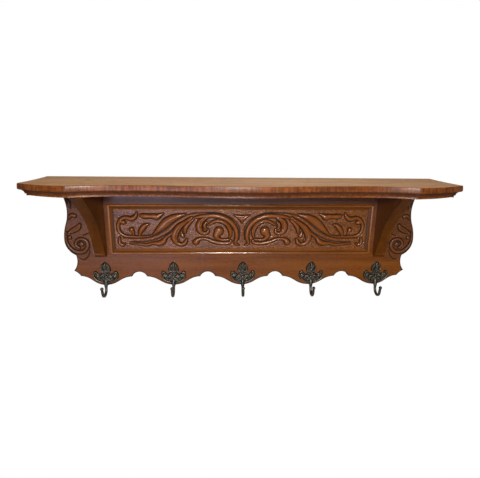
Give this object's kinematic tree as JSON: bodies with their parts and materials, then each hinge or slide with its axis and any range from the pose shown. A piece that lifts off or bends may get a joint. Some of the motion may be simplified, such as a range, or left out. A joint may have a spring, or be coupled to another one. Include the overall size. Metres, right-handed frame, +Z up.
{
  "type": "coat rack with shelf",
  "caption": "Wall-hung wooden coat rack with a moulded serpentine shelf on two brackets, a carved scroll panel and a scalloped board carrying cast brass hooks",
  "frame": {"origin": "On the wall face of the back board, midway between the two hanging holes", "axes": "+X runs along the wall to the right as seen from the room, +Y runs into the wall, +Z is up"},
  "size_m": [1, 0.193, 0.3132],
  "materials": {
    "oak": "red-brown stained oak under satin varnish",
    "carved_oak": "stained carved oak, darker in the lowered ground",
    "antique_brass": "darkened cast brass, rubbed brighter on the high places",
    "steel": "zinc-plated steel"
  },
  "bodies": {
    "root": {"shelf_board": "oak", "back_board": "oak", "carved_panel": "carved_oak", "panel_moulding_top": "oak", "panel_moulding_bottom": "oak", "panel_moulding_left": "oak", "panel_moulding_right": "oak", "left_bracket": "oak", "right_bracket": "oak", "hook_1": "antique_brass", "hook_2": "antique_brass", "hook_3": "antique_brass", "hook_4": "antique_brass", "hook_5": "antique_brass", "hook_screws": "antique_brass", "bracket_screws": "steel", "shelf_screws": "steel", "shelf_plugs": "oak", "left_hanging_plate": "steel", "right_hanging_plate": "steel", "hanging_plate_screws": "steel"}
  },
  "joints": []
}
